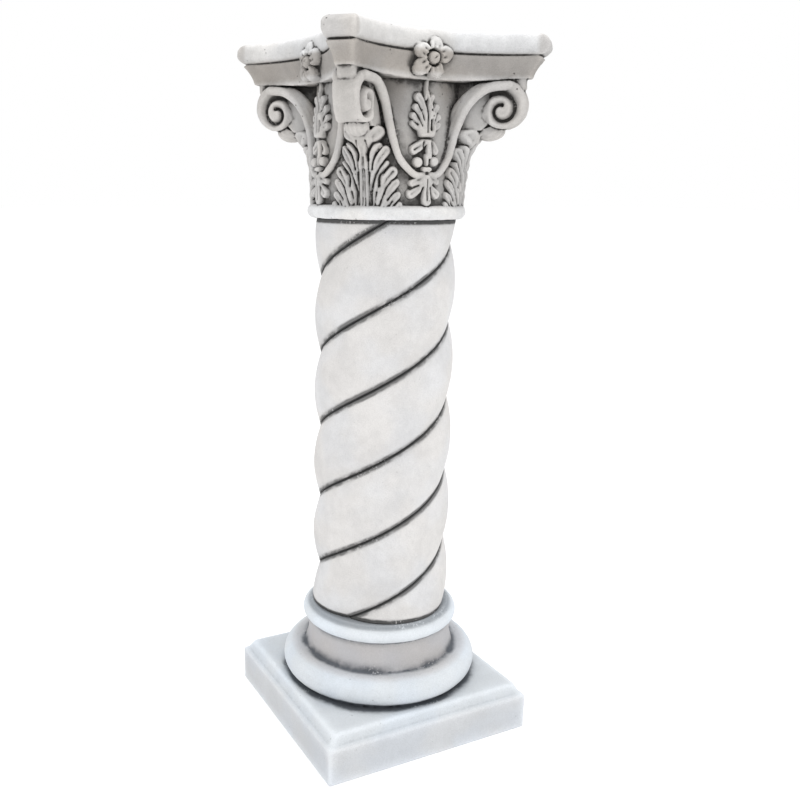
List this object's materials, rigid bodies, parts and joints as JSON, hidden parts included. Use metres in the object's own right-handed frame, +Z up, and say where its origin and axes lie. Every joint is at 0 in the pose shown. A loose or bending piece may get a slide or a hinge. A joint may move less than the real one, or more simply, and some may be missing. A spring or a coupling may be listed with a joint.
{
  "type": "baroque garden column",
  "caption": "Cast stone garden column with a square moulded base, a twisted lobed shaft and a leaf-carved capital with corner scrolls.",
  "frame": {"origin": "centre of the plinth's underside, where the column stands on the ground", "axes": "+Z up along the column's axis; X and Y square to the plinth's sides"},
  "size_m": [0.28, 0.28, 0.8311],
  "materials": {
    "base_stone": "cast stone, cool off-white, smooth with fine pits and a dark wash in the creases",
    "shaft_stone": "cast stone, pale grey, smooth, with a dark wash in the wound grooves",
    "capital_stone": "cast stone, warm grey, with a heavy dark wash in the carving and worn pale edges"
  },
  "bodies": {
    "root": {"base": "base_stone", "twisted_shaft": "shaft_stone", "capital": "capital_stone"}
  },
  "joints": []
}
